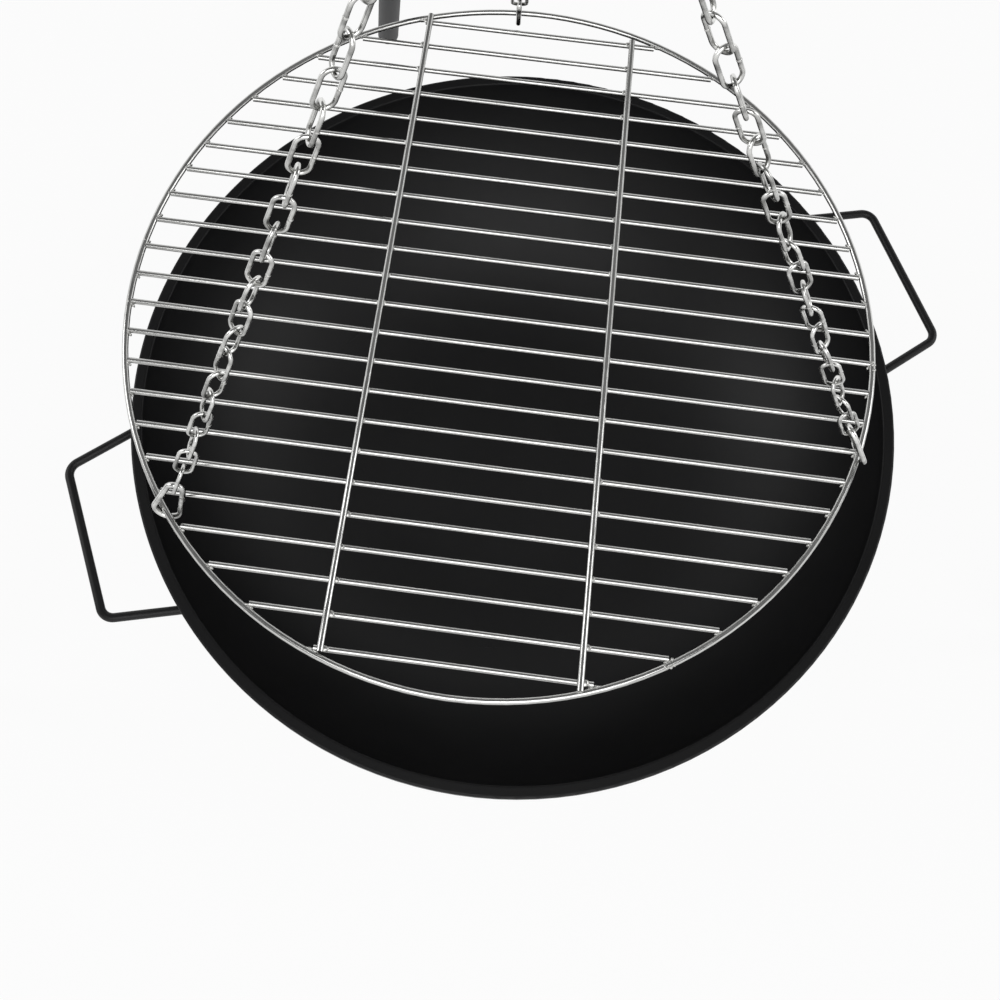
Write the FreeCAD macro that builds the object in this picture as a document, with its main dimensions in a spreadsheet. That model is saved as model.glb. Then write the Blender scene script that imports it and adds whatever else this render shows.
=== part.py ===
"""Tripod swing grill over a fire bowl, in millimetres, with +Z up.

The origin is the middle of the footprint, on the ground, and the cook stands on the -Y side.
"""
import FreeCAD, Part
import math
import os

import Sketcher
from FreeCAD import Placement, Rotation, Vector

doc = FreeCAD.newDocument("tripod_fire_bowl")

# Driving dimensions: lengths in millimetres, angles in degrees, azimuths from +X towards +Y
DIMENSIONS = {
    # Clearances
    "running_gap": 0.3,
    "pin_gap": 0.1,
    "seat_gap": 0.05,
    "weld_bite": 0.3,
    # Fire bowl
    "rim_radius": 350.0,
    "rim_height": 245.0,
    "rim_flange_width": 10.0,
    "rim_lip_depth": 8.0,
    "rim_edge_round": 2.0,
    "bowl_depth": 165.0,
    "bowl_flat_radius": 110.0,
    "bowl_wall": 2.0,
    "bowl_shift_x": 17.1,
    "bowl_shift_y": 0.9,
    # Bowl handles
    "handle_rod": 8.0,
    "handle_drop": 15.0,
    "handle_overhang": 53.6,
    "handle_grip_width": 143.5,
    "handle_splay": 12.6,
    "handle_bend_radius": 12.0,
    "handle_azimuth": 25.0,
    # Bowl feet
    "bowl_foot_radius": 200.0,
    "bowl_foot_width": 40.0,
    "bowl_foot_sheet": 5.0,
    "bowl_foot_pad": 45.0,
    "bowl_foot_azimuth": 270.0,
    # Grate
    "grate_ring_radius": 299.3,
    "grate_ring_wire": 5.0,
    "grate_turn": -1.3,
    "grate_bar_turn": -1.75,
    "grate_bar_wire": 4.5,
    "grate_bar_pitch": 25.16,
    "grate_bar_margin": 12.0,
    "grate_bar_rise": 0.25,
    "cross_bar_wire": 5.0,
    "left_cross_bar_far": -95.7,
    "left_cross_bar_near": -98.9,
    "left_cross_bar_far_end": -0.5,
    "left_cross_bar_near_end": -3.5,
    "right_cross_bar_far": 84.3,
    "right_cross_bar_near": 90.4,
    "right_cross_bar_far_end": -8.2,
    "right_cross_bar_near_end": -1.3,
    # Chains and their rings
    "link_wire": 3.0,
    "link_pitch": 26.0,
    "link_width": 15.5,
    "grate_chain_links": 27,
    "main_chain_links": 19,
    "left_chain_azimuth": -141.9,
    "right_chain_azimuth": -16.4,
    "back_chain_azimuth": 92.3,
    "left_chain_half_turns": 1,
    "right_chain_half_turns": 3,
    "back_chain_half_turns": 0,
    "gathering_ring_wire": 5.0,
    "gathering_ring_radius": 17.0,
    "gathering_ring_spread": 35.0,
    # Carabiners
    "carabiner_wire": 4.5,
    "carabiner_length": 50.0,
    "carabiner_top_radius": 6.0,
    "carabiner_bottom_radius": 10.0,
    "carabiner_hinge_stub": 6.0,
    "carabiner_nose_stub": 3.0,
    "carabiner_tongue": 2.0,
    "carabiner_rivet": 1.6,
    "left_carabiner_twist": 135.0,
    "right_carabiner_twist": 132.0,
    "back_carabiner_twist": 0.0,
    # Hook and eye bolt
    "hook_wire": 5.0,
    "hook_loop_radius": 9.0,
    "hook_loop_spacing": 34.0,
    "hook_tip_angle": 10.0,
    "eye_wire": 8.0,
    "eye_radius": 15.0,
    "eye_drop": 34.0,
    "eye_shank": 10.0,
    "eye_shank_tail": 4.0,
    "eye_nut_height": 8.0,
    "eye_nut_width": 17.0,
    # Tripod legs
    "back_leg_azimuth": 108.4,
    "left_leg_azimuth": 209.0,
    "right_leg_azimuth": 348.0,
    "foot_radius": 577.0,
    "pivot_radius": 42.0,
    "pivot_height": 1664.4,
    "leg_tube": 25.0,
    "leg_tube_wall": 1.5,
    "upper_tube_length": 900.0,
    "leg_top_overhang": 14.0,
    "coupler_length": 140.0,
    "coupler_wall": 1.5,
    "leg_cap_flange": 2.0,
    "leg_cap_plug": 8.0,
    "foot_cap_collar": 5.0,
    "foot_cap_plug": 25.0,
    # Tripod head
    "head_plate_radius": 75.0,
    "head_plate_thickness": 6.0,
    "bracket_sheet": 3.0,
    "bracket_drop": 30.0,
    "bracket_inner_reach": 15.0,
    "bracket_outer_reach": 28.0,
    "bracket_ear_depth": 24.0,
    "bracket_side_gap": 0.5,
    "bolt": 8.0,
    "bolt_head_height": 5.3,
    "bolt_head_width": 13.0,
    "bolt_tail": 2.0,
    "nut_height": 6.5,
    "stop_pin": 6.0,
    "stop_pin_drop": 22.0,
}
sheet = doc.addObject("Spreadsheet::Sheet", "dims")
for row, (alias, value) in enumerate(DIMENSIONS.items(), start=1):
    sheet.set(f"A{row}", alias)
    sheet.set(f"B{row}", str(value))
    sheet.setAlias(f"B{row}", alias)
doc.recompute()

SIDES = ("back", "left", "right")
UP = Vector(0, 0, 1)
sub_parts = []


def dim(alias):
    """Value of one driving dimension."""
    return float(sheet.get(alias))


def keep(node, obj):
    """Name a finished sub-part and list it for writing."""
    obj.Label = node
    sub_parts.append(obj)
    return obj


def polar(radius, azimuth, z=0.0):
    """Point at a distance and azimuth from the Z axis."""
    angle = math.radians(azimuth)
    return Vector(radius * math.cos(angle), radius * math.sin(angle), z)


def unit(vector):
    return vector / vector.Length


def facing(origin, z_axis, x_axis):
    """Placement with its Z along z_axis and its X as near x_axis as it can be."""
    y_axis = z_axis.cross(x_axis)
    return Placement(origin, Rotation(x_axis, y_axis, z_axis, "ZXY"))


def along(start, direction):
    return Placement(start, Rotation(UP, direction))


def cylinder(name, radius, height, placement):
    obj = doc.addObject("Part::Cylinder", name)
    obj.setExpression("Radius", radius)
    obj.setExpression("Height", height)
    obj.Placement = placement
    return obj


def box(name, length, width, height, placement):
    obj = doc.addObject("Part::Box", name)
    obj.setExpression("Length", length)
    obj.setExpression("Width", width)
    obj.setExpression("Height", height)
    obj.Placement = placement
    return obj


def hexagon(name, across_flats, height, placement):
    obj = doc.addObject("Part::Prism", name)
    obj.Polygon = 6
    obj.setExpression("Circumradius", f"{across_flats} / sqrt(3)")
    obj.setExpression("Height", height)
    obj.Placement = placement
    return obj


def torus(name, ring_radius, wire_radius, placement):
    obj = doc.addObject("Part::Torus", name)
    obj.setExpression("Radius1", ring_radius)
    obj.setExpression("Radius2", wire_radius)
    obj.Placement = placement
    return obj


def fuse(name, shapes):
    obj = doc.addObject("Part::MultiFuse", name)
    obj.Shapes = shapes
    return obj


def cut(name, base, tools):
    obj = doc.addObject("Part::Cut", name)
    obj.Base = base
    obj.Tool = tools[0] if len(tools) == 1 else fuse(f"{name}_tools", tools)
    return obj


def group(name, members):
    obj = doc.addObject("Part::Compound", name)
    obj.Links = members
    return obj


def tube(name, diameter, wall, length, placement):
    """Round tube from its foot along the placement's Z."""
    outside = cylinder(f"{name}_outside", f"{diameter} / 2", length, placement)
    inside = cylinder(f"{name}_inside", f"{diameter} / 2 - {wall}", length, placement)
    return cut(name, outside, [inside])


def wire_rod(name, edges, wire_radius):
    """Round wire bent along a path of lines and arcs."""
    path = doc.addObject("Part::Feature", f"{name}_path")
    path.Shape = Part.Wire(edges)
    first = path.Shape.Edges[0]
    circle = doc.addObject("Part::Circle", f"{name}_section")
    circle.setExpression("Radius", wire_radius)
    circle.Placement = along(first.valueAt(first.FirstParameter), first.tangentAt(first.FirstParameter))
    rod = doc.addObject("Part::Sweep", name)
    rod.Sections = [circle]
    rod.Spine = (path, [f"Edge{number}" for number in range(1, len(edges) + 1)])
    rod.Solid = True
    return rod


def line(start, end):
    return Part.LineSegment(start, end).toShape()


def arc(start, middle, end):
    return Part.Arc(start, middle, end).toShape()


def bent_path(points, bend_radius):
    """Straight runs joined by equal bends at the inner points."""
    edges = []
    start = points[0]
    for before, corner, after in zip(points, points[1:], points[2:]):
        inward = unit(before - corner)
        onward = unit(after - corner)
        half = inward.getAngle(onward) / 2
        tangent = bend_radius / math.tan(half)
        bisector = unit(inward + onward)
        nearest = corner + bisector * (bend_radius / math.sin(half) - bend_radius)
        bend_start = corner + inward * tangent
        bend_end = corner + onward * tangent
        edges.append(line(start, bend_start))
        edges.append(arc(bend_start, nearest, bend_end))
        start = bend_end
    edges.append(line(start, points[-1]))
    return edges


# Places of the tripod, found from its footprint so that the origin is in the footprint's middle
foot_reach = {side: polar(dim("foot_radius"), dim(f"{side}_leg_azimuth")) for side in SIDES}
foot_round = dim("leg_tube") / 2
handle_reach = dim("rim_radius") + dim("handle_overhang")
bowl_shift = Vector(dim("bowl_shift_x"), dim("bowl_shift_y"), 0)
west = min([foot.x - foot_round for foot in foot_reach.values()] + [bowl_shift.x - handle_reach])
east = max([foot.x + foot_round for foot in foot_reach.values()] + [bowl_shift.x + handle_reach])
south = min([foot.y - foot_round for foot in foot_reach.values()] + [bowl_shift.y - dim("rim_radius")])
north = max([foot.y + foot_round for foot in foot_reach.values()] + [bowl_shift.y + dim("rim_radius")])
tripod_axis = Vector(-(west + east) / 2, -(south + north) / 2, 0)
bowl_axis = tripod_axis + bowl_shift


# Fire bowl: a pressed steel dish with a flat bottom, a narrow flange and a turned-down lip
rim = dim("rim_radius")
mouth = rim - dim("rim_flange_width")
flat = dim("bowl_flat_radius")
depth = dim("bowl_depth")
wall = dim("bowl_wall")
lip = dim("rim_lip_depth")
side_radius = ((mouth - flat) ** 2 + depth ** 2) / (2 * depth)
side_centre = side_radius - depth
outside_mouth = flat + math.sqrt((side_radius + wall) ** 2 - (side_centre + wall) ** 2)
bowl_top = Placement(bowl_axis + UP * dim("rim_height"), Rotation())

bowl = doc.addObject("PartDesign::Body", "bowl")
profile = bowl.newObject("Sketcher::SketchObject", "bowl_profile")
upright = [plane for plane in bowl.Origin.OriginFeatures if plane.Role == "XZ_Plane"][0]
profile.AttachmentSupport = [(upright, "")]
profile.MapMode = "FlatFace"


def profile_line(x_start, y_start, x_end, y_end):
    return profile.addGeometry(Part.LineSegment(Vector(x_start, y_start, 0), Vector(x_end, y_end, 0)))


def profile_arc(radius, x_end, y_end):
    """Side of the dish, from its flat bottom up to the given point."""
    circle = Part.Circle(Vector(flat, side_centre, 0), UP, radius)
    top_angle = math.atan2(y_end - side_centre, x_end - flat)
    return profile.addGeometry(Part.ArcOfCircle(circle, -math.pi / 2, top_angle))


inner_floor = profile_line(0, -depth, flat, -depth)
inner_side = profile_arc(side_radius, mouth, 0)
flange_top = profile_line(mouth, 0, rim, 0)
lip_outside = profile_line(rim, 0, rim, -lip)
lip_edge = profile_line(rim, -lip, rim - wall, -lip)
lip_inside = profile_line(rim - wall, -lip, rim - wall, -wall)
flange_under = profile_line(rim - wall, -wall, outside_mouth, -wall)
outer_side = profile_arc(side_radius + wall, outside_mouth, -wall)
outer_floor = profile_line(flat, -depth - wall, 0, -depth - wall)
middle_edge = profile_line(0, -depth - wall, 0, -depth)
START, END, CENTRE = range(1, 4)
UPRIGHT_AXIS, ORIGIN_POINT = range(-2, 0)
for first, first_end, second, second_end in (
    (inner_floor, END, inner_side, START),
    (inner_side, END, flange_top, START),
    (flange_top, END, lip_outside, START),
    (lip_outside, END, lip_edge, START),
    (lip_edge, END, lip_inside, START),
    (lip_inside, END, flange_under, START),
    (flange_under, END, outer_side, END),
    (outer_side, START, outer_floor, START),
    (outer_floor, END, middle_edge, START),
    (middle_edge, END, inner_floor, START),
    (inner_side, CENTRE, outer_side, CENTRE),
):
    profile.addConstraint(Sketcher.Constraint("Coincident", first, first_end, second, second_end))
for level in (inner_floor, flange_top, lip_edge, flange_under, outer_floor):
    profile.addConstraint(Sketcher.Constraint("Horizontal", level))
for plumb in (lip_outside, lip_inside):
    profile.addConstraint(Sketcher.Constraint("Vertical", plumb))
profile.addConstraint(Sketcher.Constraint("PointOnObject", inner_floor, START, UPRIGHT_AXIS))
profile.addConstraint(Sketcher.Constraint("PointOnObject", outer_floor, END, UPRIGHT_AXIS))
for name, constraint, expression in (
    ("rim", Sketcher.Constraint("DistanceX", ORIGIN_POINT, START, flange_top, END, rim), "dims.rim_radius"),
    ("top", Sketcher.Constraint("PointOnObject", flange_top, END, ORIGIN_POINT), None),
    ("flange", Sketcher.Constraint("DistanceX", flange_top, START, flange_top, END, rim - mouth),
     "dims.rim_flange_width"),
    ("lip", Sketcher.Constraint("DistanceY", lip_outside, END, lip_outside, START, lip), "dims.rim_lip_depth"),
    ("sheet", Sketcher.Constraint("DistanceX", lip_edge, END, lip_edge, START, wall), "dims.bowl_wall"),
    ("under", Sketcher.Constraint("DistanceY", flange_under, START, flange_top, END, wall), "dims.bowl_wall"),
    ("depth", Sketcher.Constraint("DistanceY", inner_floor, START, ORIGIN_POINT, START, depth),
     "dims.bowl_depth"),
    ("floor", Sketcher.Constraint("DistanceY", middle_edge, START, middle_edge, END, wall), "dims.bowl_wall"),
    ("flat", Sketcher.Constraint("DistanceX", inner_floor, START, inner_floor, END, flat),
     "dims.bowl_flat_radius"),
):
    index = profile.addConstraint(constraint)
    profile.renameConstraint(index, name)
    if expression:
        profile.setExpression(f"Constraints.{name}", expression)
dish = bowl.newObject("PartDesign::Revolution", "bowl_dish")
dish.Profile = profile
dish.ReferenceAxis = (profile, ["V_Axis"])
dish.Angle = 360
doc.recompute()


def circle_edge(shape, radius, z):
    """Name of the full circle with a radius and height."""
    for number, edge in enumerate(shape.Edges, start=1):
        curve = edge.Curve
        if isinstance(curve, Part.Circle) and abs(curve.Radius - radius) + abs(curve.Center.z - z) < 0.01:
            return f"Edge{number}"
    raise ValueError(f"no circle of radius {radius} at {z}")


rim_round = bowl.newObject("PartDesign::Fillet", "bowl_rim_round")
rim_round.Base = (dish, [circle_edge(dish.Shape, rim, 0), circle_edge(dish.Shape, mouth, 0)])
rim_round.setExpression("Radius", "dims.rim_edge_round")
bowl.Tip = rim_round
bowl.Placement = bowl_top
keep("bowl", bowl)

# Space that the bowl takes up, which the welded handles and feet are trimmed to
seat = dim("seat_gap")
core_side = side_radius + wall + seat
core_points = [
    Vector(0, 0, -depth - wall - seat),
    Vector(flat, 0, -depth - wall - seat),
    Vector(flat + math.sqrt(core_side ** 2 - side_centre ** 2), 0, 0),
    Vector(0, 0, 0),
]
core_middle = Vector(flat + core_side * math.sin(math.pi / 6), 0, side_centre - core_side * math.cos(math.pi / 6))
core_face = Part.Face(Part.Wire([
    line(core_points[0], core_points[1]),
    arc(core_points[1], core_middle, core_points[2]),
    line(core_points[2], core_points[3]),
    line(core_points[3], core_points[0]),
]))
bowl_core = doc.addObject("Part::Feature", "bowl_core")
bowl_core.Shape = core_face.revolve(Vector(), UP, 360)
bowl_core.Placement = bowl_top


# Bowl handles: round rod bent to a flat U, welded to the bowl's side below the rim
grip = dim("handle_grip_width") / 2
weld_radius = mouth - dim("handle_bend_radius") - dim("rim_flange_width")
weld_half = grip + (handle_reach - weld_radius) * math.tan(math.radians(dim("handle_splay")))
for side, turn in (("right", 0), ("left", 180)):
    handle_turn = Rotation(UP, dim("handle_azimuth") + turn)
    handle_place = Placement(bowl_axis + UP * (dim("rim_height") - dim("handle_drop")), handle_turn)
    corners = [
        Vector(weld_radius, weld_half, 0),
        Vector(handle_reach, grip, 0),
        Vector(handle_reach, -grip, 0),
        Vector(weld_radius, -weld_half, 0),
    ]
    corners = [handle_place.multVec(corner) for corner in corners]
    rod = wire_rod(f"{side}_handle_rod", bent_path(corners, dim("handle_bend_radius")), "dims.handle_rod / 2")
    keep(f"bowl_handle_{side}", cut(f"bowl_handle_{side}", rod, [bowl_core]))


# Bowl feet: flat bar bent to an L, standing on its short leg and welded under the dish
foot_inside = dim("bowl_foot_radius")
foot_outside = foot_inside + dim("bowl_foot_sheet")
foot_meets = side_centre - math.sqrt((side_radius + wall) ** 2 - (foot_outside - flat) ** 2)
foot_top = dim("rim_height") + foot_meets + dim("bowl_foot_sheet")
for index, side in enumerate(("front", "right", "left")):
    foot_turn = Rotation(UP, dim("bowl_foot_azimuth") + 120 * index)
    foot_corner = Vector(foot_inside, -dim("bowl_foot_width") / 2, 0)
    foot_place = Placement(bowl_axis + foot_turn.multVec(foot_corner), foot_turn)
    post = box(f"{side}_foot_post", "dims.bowl_foot_sheet", "dims.bowl_foot_width", f"{foot_top}", foot_place)
    pad = box(f"{side}_foot_pad", "dims.bowl_foot_pad", "dims.bowl_foot_width", "dims.bowl_foot_sheet", foot_place)
    bent_bar = fuse(f"{side}_foot_bar", [post, pad])
    keep(f"bowl_foot_{side}", cut(f"bowl_foot_{side}", bent_bar, [bowl_core]))


# Tripod head: a round plate that carries the legs' brackets and the eye bolt
pivot_height = dim("pivot_height")
plate_bottom = pivot_height + dim("bracket_drop") + dim("bracket_sheet")
plate_top = plate_bottom + dim("head_plate_thickness")
plate_disc = cylinder("head_plate_disc", "dims.head_plate_radius", "dims.head_plate_thickness",
                      Placement(tripod_axis + UP * plate_bottom, Rotation()))
plate_holes = [cylinder("head_plate_eye_hole", "dims.eye_shank / 2 + dims.pin_gap", "dims.head_plate_thickness",
                        plate_disc.Placement)]
ear_width = "dims.leg_tube + 2 * dims.bracket_side_gap"
half_ear_width = dim("leg_tube") / 2 + dim("bracket_side_gap")
half_bracket_width = half_ear_width + dim("bracket_sheet")
bracket_bolts, bracket_nuts, pivot_bolts, pivot_nuts, stop_pins = [], [], [], [], []


def bolt(name, length, placement):
    """Hexagon bolt: its head's bearing face is at the placement and its shank runs along Z."""
    head_place = placement.multiply(Placement(Vector(0, 0, -dim("bolt_head_height")), Rotation()))
    head = hexagon(f"{name}_head", "dims.bolt_head_width", "dims.bolt_head_height", head_place)
    shank = cylinder(f"{name}_shank", "dims.bolt / 2", length, placement)
    return fuse(name, [head, shank])


def nut(name, across_flats, height, hole, placement):
    body = hexagon(f"{name}_body", across_flats, height, placement)
    thread = cylinder(f"{name}_thread", hole, height, placement)
    return cut(name, body, [thread])


# Legs: two tubes plugged together, hinged in a bracket under the head and stopped by a pin
for side in SIDES:
    azimuth = dim(f"{side}_leg_azimuth")
    outward = polar(1, azimuth)
    sideways = UP.cross(outward)
    pivot = tripod_axis + outward * dim("pivot_radius") + UP * pivot_height
    foot = tripod_axis + foot_reach[side] + UP * foot_round
    down_leg = unit(foot - pivot)
    off_leg = unit(outward - down_leg * outward.dot(down_leg))
    leg_length = (foot - pivot).Length

    # Bracket bent from sheet: a top bolted to the plate and two ears with the pivot hole
    bracket_frame = facing(pivot, UP, outward)

    def in_bracket(x, y, z):
        return bracket_frame.multiply(Placement(Vector(x, y, z), Rotation()))

    bracket_length = "dims.bracket_inner_reach + dims.bracket_outer_reach"
    ear_height = "dims.bracket_drop + dims.bracket_ear_depth"
    blank = box(f"{side}_bracket_blank", bracket_length, f"{ear_width} + 2 * dims.bracket_sheet",
                f"{ear_height} + dims.bracket_sheet",
                in_bracket(-dim("bracket_inner_reach"), -half_bracket_width, -dim("bracket_ear_depth")))
    leg_room = box(f"{side}_bracket_room", bracket_length, ear_width, ear_height,
                   in_bracket(-dim("bracket_inner_reach"), -half_ear_width, -dim("bracket_ear_depth")))
    across = along(pivot - sideways * half_bracket_width, sideways)
    pivot_hole = cylinder(f"{side}_pivot_hole", "dims.bolt / 2 + dims.pin_gap",
                          f"{ear_width} + 2 * dims.bracket_sheet", across)
    stop_offset = foot_round + dim("stop_pin") / 2 + dim("running_gap")
    stop_centre = pivot + down_leg * dim("stop_pin_drop") + off_leg * stop_offset
    stop_place = along(stop_centre - sideways * half_bracket_width, sideways)
    stop_hole = cylinder(f"{side}_stop_hole", "dims.stop_pin / 2 + dims.seat_gap",
                         f"{ear_width} + 2 * dims.bracket_sheet", stop_place)
    bolt_seat = Placement(pivot + UP * dim("bracket_drop"), Rotation())
    bolt_hole = cylinder(f"{side}_bracket_bolt_hole", "dims.bolt / 2 + dims.pin_gap",
                         "dims.bracket_sheet + dims.head_plate_thickness", bolt_seat)
    plate_holes.append(bolt_hole)
    keep(f"leg_bracket_{side}",
         cut(f"leg_bracket_{side}", blank, [leg_room, pivot_hole, stop_hole, bolt_hole]))

    # Fasteners of this bracket
    clamped = "dims.bracket_sheet + dims.head_plate_thickness"
    bracket_bolts.append(bolt(f"{side}_bracket_bolt", f"{clamped} + dims.nut_height + dims.bolt_tail", bolt_seat))
    bracket_nuts.append(nut(f"{side}_bracket_nut", "dims.bolt_head_width", "dims.nut_height",
                            "dims.bolt / 2 + dims.seat_gap",
                            Placement(Vector(pivot.x, pivot.y, plate_top), Rotation())))
    pivot_length = f"{ear_width} + 2 * dims.bracket_sheet + dims.nut_height + dims.bolt_tail"
    pivot_bolts.append(bolt(f"{side}_pivot_bolt", pivot_length, across))
    pivot_nuts.append(nut(f"{side}_pivot_nut", "dims.bolt_head_width", "dims.nut_height",
                          "dims.bolt / 2 + dims.seat_gap",
                          along(pivot + sideways * half_bracket_width, sideways)))
    stop_pins.append(cylinder(f"{side}_stop_pin", "dims.stop_pin / 2",
                              f"{ear_width} + 2 * dims.bracket_sheet", stop_place))

    # Tubes, the sleeve inside their joint, and the caps in their ends
    leg_start = pivot - down_leg * dim("leg_top_overhang")
    joint = leg_start + down_leg * dim("upper_tube_length")
    lower_length = leg_length + dim("leg_top_overhang") - dim("upper_tube_length") - dim("foot_cap_collar")
    lower_end = joint + down_leg * lower_length
    upper = tube(f"{side}_upper", "dims.leg_tube", "dims.leg_tube_wall", "dims.upper_tube_length",
                 along(leg_start, down_leg))
    cross_hole = cylinder(f"{side}_cross_hole", "dims.bolt / 2 + dims.pin_gap", "dims.leg_tube",
                          along(pivot - sideways * foot_round, sideways))
    keep(f"leg_{side}_upper_tube", cut(f"leg_{side}_upper_tube", upper, [cross_hole]))
    keep(f"leg_{side}_lower_tube", tube(f"leg_{side}_lower_tube", "dims.leg_tube", "dims.leg_tube_wall",
                                        f"{lower_length}", along(joint, down_leg)))
    sleeve = "(dims.leg_tube - 2 * dims.leg_tube_wall - 2 * dims.seat_gap)"
    keep(f"leg_{side}_coupler", tube(f"leg_{side}_coupler", sleeve, "dims.coupler_wall", "dims.coupler_length",
                                     along(joint - down_leg * (dim("coupler_length") / 2), down_leg)))
    cap_flange = cylinder(f"{side}_cap_flange", "dims.leg_tube / 2", "dims.leg_cap_flange",
                          along(leg_start, -down_leg))
    cap_plug = cylinder(f"{side}_cap_plug", f"{sleeve} / 2", "dims.leg_cap_plug", along(leg_start, down_leg))
    keep(f"leg_{side}_top_cap", fuse(f"leg_{side}_top_cap", [cap_flange, cap_plug]))
    collar = cylinder(f"{side}_foot_collar", "dims.leg_tube / 2", "dims.foot_cap_collar", along(lower_end, down_leg))
    foot_plug = cylinder(f"{side}_foot_plug", f"{sleeve} / 2", "dims.foot_cap_plug", along(lower_end, -down_leg))
    dome = doc.addObject("Part::Sphere", f"{side}_foot_dome")
    dome.setExpression("Radius", "dims.leg_tube / 2")
    dome.Angle1 = 0
    dome.Placement = along(foot, down_leg)
    keep(f"leg_{side}_foot_cap", fuse(f"leg_{side}_foot_cap", [collar, foot_plug, dome]))

keep("head_plate", cut("head_plate", plate_disc, plate_holes))
keep("bracket_bolts", group("bracket_bolts", bracket_bolts))
keep("bracket_nuts", group("bracket_nuts", bracket_nuts))
keep("pivot_bolts", group("pivot_bolts", pivot_bolts))
keep("pivot_nuts", group("pivot_nuts", pivot_nuts))
keep("stop_pins", group("stop_pins", stop_pins))


# Eye bolt: a ring on a shank through the plate, held by a nut on each side
eye_centre = tripod_axis + UP * (plate_bottom - dim("eye_drop"))
eye_ring = torus("eye_ring", "dims.eye_radius", "dims.eye_wire / 2",
                 Placement(eye_centre, Rotation(Vector(0, 1, 0), 90)))
shank_start = eye_centre + UP * dim("eye_radius")
eye_shank = cylinder("eye_shank_rod", "dims.eye_shank / 2",
                     "dims.eye_drop - dims.eye_radius + dims.head_plate_thickness"
                     " + dims.eye_nut_height + dims.eye_shank_tail",
                     Placement(shank_start, Rotation()))
keep("eye_bolt", fuse("eye_bolt", [eye_ring, eye_shank]))
eye_nuts = []
for place, bottom in (("lower", plate_bottom - dim("eye_nut_height")), ("upper", plate_top)):
    eye_nuts.append(nut(f"eye_nut_{place}", "dims.eye_nut_width", "dims.eye_nut_height",
                        "dims.eye_shank / 2 + dims.seat_gap",
                        Placement(tripod_axis + UP * bottom, Rotation())))
keep("eye_bolt_nuts", group("eye_bolt_nuts", eye_nuts))


# Hanging hook: an S of round wire, its upper loop over the eye's wire
gap = dim("running_gap")
loop = dim("hook_loop_radius")
hook_radius = dim("hook_wire") / 2
eye_bottom = eye_centre - UP * dim("eye_radius")
upper_loop = eye_bottom + UP * (dim("eye_wire") / 2 + hook_radius + gap - loop)
lower_loop = upper_loop - UP * dim("hook_loop_spacing")
hook_bottom = lower_loop - UP * loop
slant = math.degrees(math.asin(2 * loop / dim("hook_loop_spacing")))
tip = dim("hook_tip_angle")


def on_loop(centre, angle):
    """Point of a hook loop, at an angle from +X towards +Z."""
    radians = math.radians(angle)
    return centre + Vector(loop * math.cos(radians), 0, loop * math.sin(radians))


hook_edges = [
    arc(on_loop(upper_loop, 180 + tip), on_loop(upper_loop, 90), on_loop(upper_loop, -slant)),
    line(on_loop(upper_loop, -slant), on_loop(lower_loop, 180 - slant)),
    arc(on_loop(lower_loop, 180 - slant), on_loop(lower_loop, 270), on_loop(lower_loop, 360 - tip)),
]
keep("hanging_hook", wire_rod("hanging_hook", hook_edges, "dims.hook_wire / 2"))


# One chain link: round wire welded into a long loop
link_radius = dim("link_wire") / 2
link_half_width = dim("link_width") / 2 - link_radius
link_straight = dim("link_pitch") / 2 + link_radius - link_half_width
right_low = Vector(link_half_width, 0, -link_straight)
right_high = Vector(link_half_width, 0, link_straight)
left_low = Vector(-link_half_width, 0, -link_straight)
left_high = Vector(-link_half_width, 0, link_straight)
link_end = Vector(0, 0, link_straight + link_half_width)
link = wire_rod("chain_link", [
    line(right_low, right_high),
    arc(right_high, link_end, left_high),
    line(left_high, left_low),
    arc(left_low, -link_end, right_low),
], "dims.link_wire / 2")
doc.recompute()
link_step = dim("link_pitch") - gap


def hung_on(wire_alias):
    """Distance from a wire's middle to the middle of a link that hangs on it."""
    return dim("link_pitch") / 2 - dim(wire_alias) / 2 - gap


def chain(node, start, step, count, first_width, last_width, direction, half_turns=0):
    """Row of links, each a quarter turn on from the last, with the leftover twist and half turns shared out."""
    turn = math.degrees(first_width.getAngle(last_width))
    if first_width.cross(last_width).dot(direction) < 0:
        turn = -turn
    leftover = (turn - 90 * (count - 1) + 90) % 180 - 90 + 180 * half_turns
    links = []
    for number in range(count):
        twist = Rotation(direction, number * (90 + leftover / (count - 1)))
        placed = link.Shape.copy()
        placed.Placement = facing(start + direction * (step * number), direction, twist.multVec(first_width))
        links.append(placed)
    row = doc.addObject("Part::Feature", node)
    row.Shape = Part.Compound(links)
    return keep(node, row)


# Main chain, from the hook down to the gathering ring
DOWN = -UP
ring_wire = dim("gathering_ring_wire") / 2
main_count = int(dim("main_chain_links"))
main_start = hook_bottom + DOWN * hung_on("hook_wire")
chain("main_chain", main_start, link_step, main_count, Vector(0, 1, 0), Vector(0, 1, 0), DOWN)
ring_top = main_start + DOWN * (link_step * (main_count - 1) + hung_on("gathering_ring_wire"))
ring_centre = ring_top + DOWN * dim("gathering_ring_radius")
keep("gathering_ring", torus("gathering_ring", "dims.gathering_ring_radius", "dims.gathering_ring_wire / 2",
                             Placement(ring_centre, Rotation(Vector(1, 0, 0), 90))))


# Grate height: what the back chain and its carabiner leave below the gathering ring
carabiner_radius = dim("carabiner_wire") / 2
carabiner_centres = dim("carabiner_length") - dim("carabiner_wire")
grate_seat = carabiner_centres - carabiner_radius - dim("grate_ring_wire") / 2 - gap
grate_links = int(dim("grate_chain_links"))
chain_ends = hung_on("gathering_ring_wire") + hung_on("carabiner_wire") + grate_seat
chain_length = chain_ends + link_step * (grate_links - 1)
back_drop = math.sqrt(chain_length ** 2 - dim("grate_ring_radius") ** 2)
grate_centre = ring_centre + DOWN * (dim("gathering_ring_radius") + back_drop)
print("grate height above the rim", round(grate_centre.z - dim("rim_height"), 2))


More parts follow.
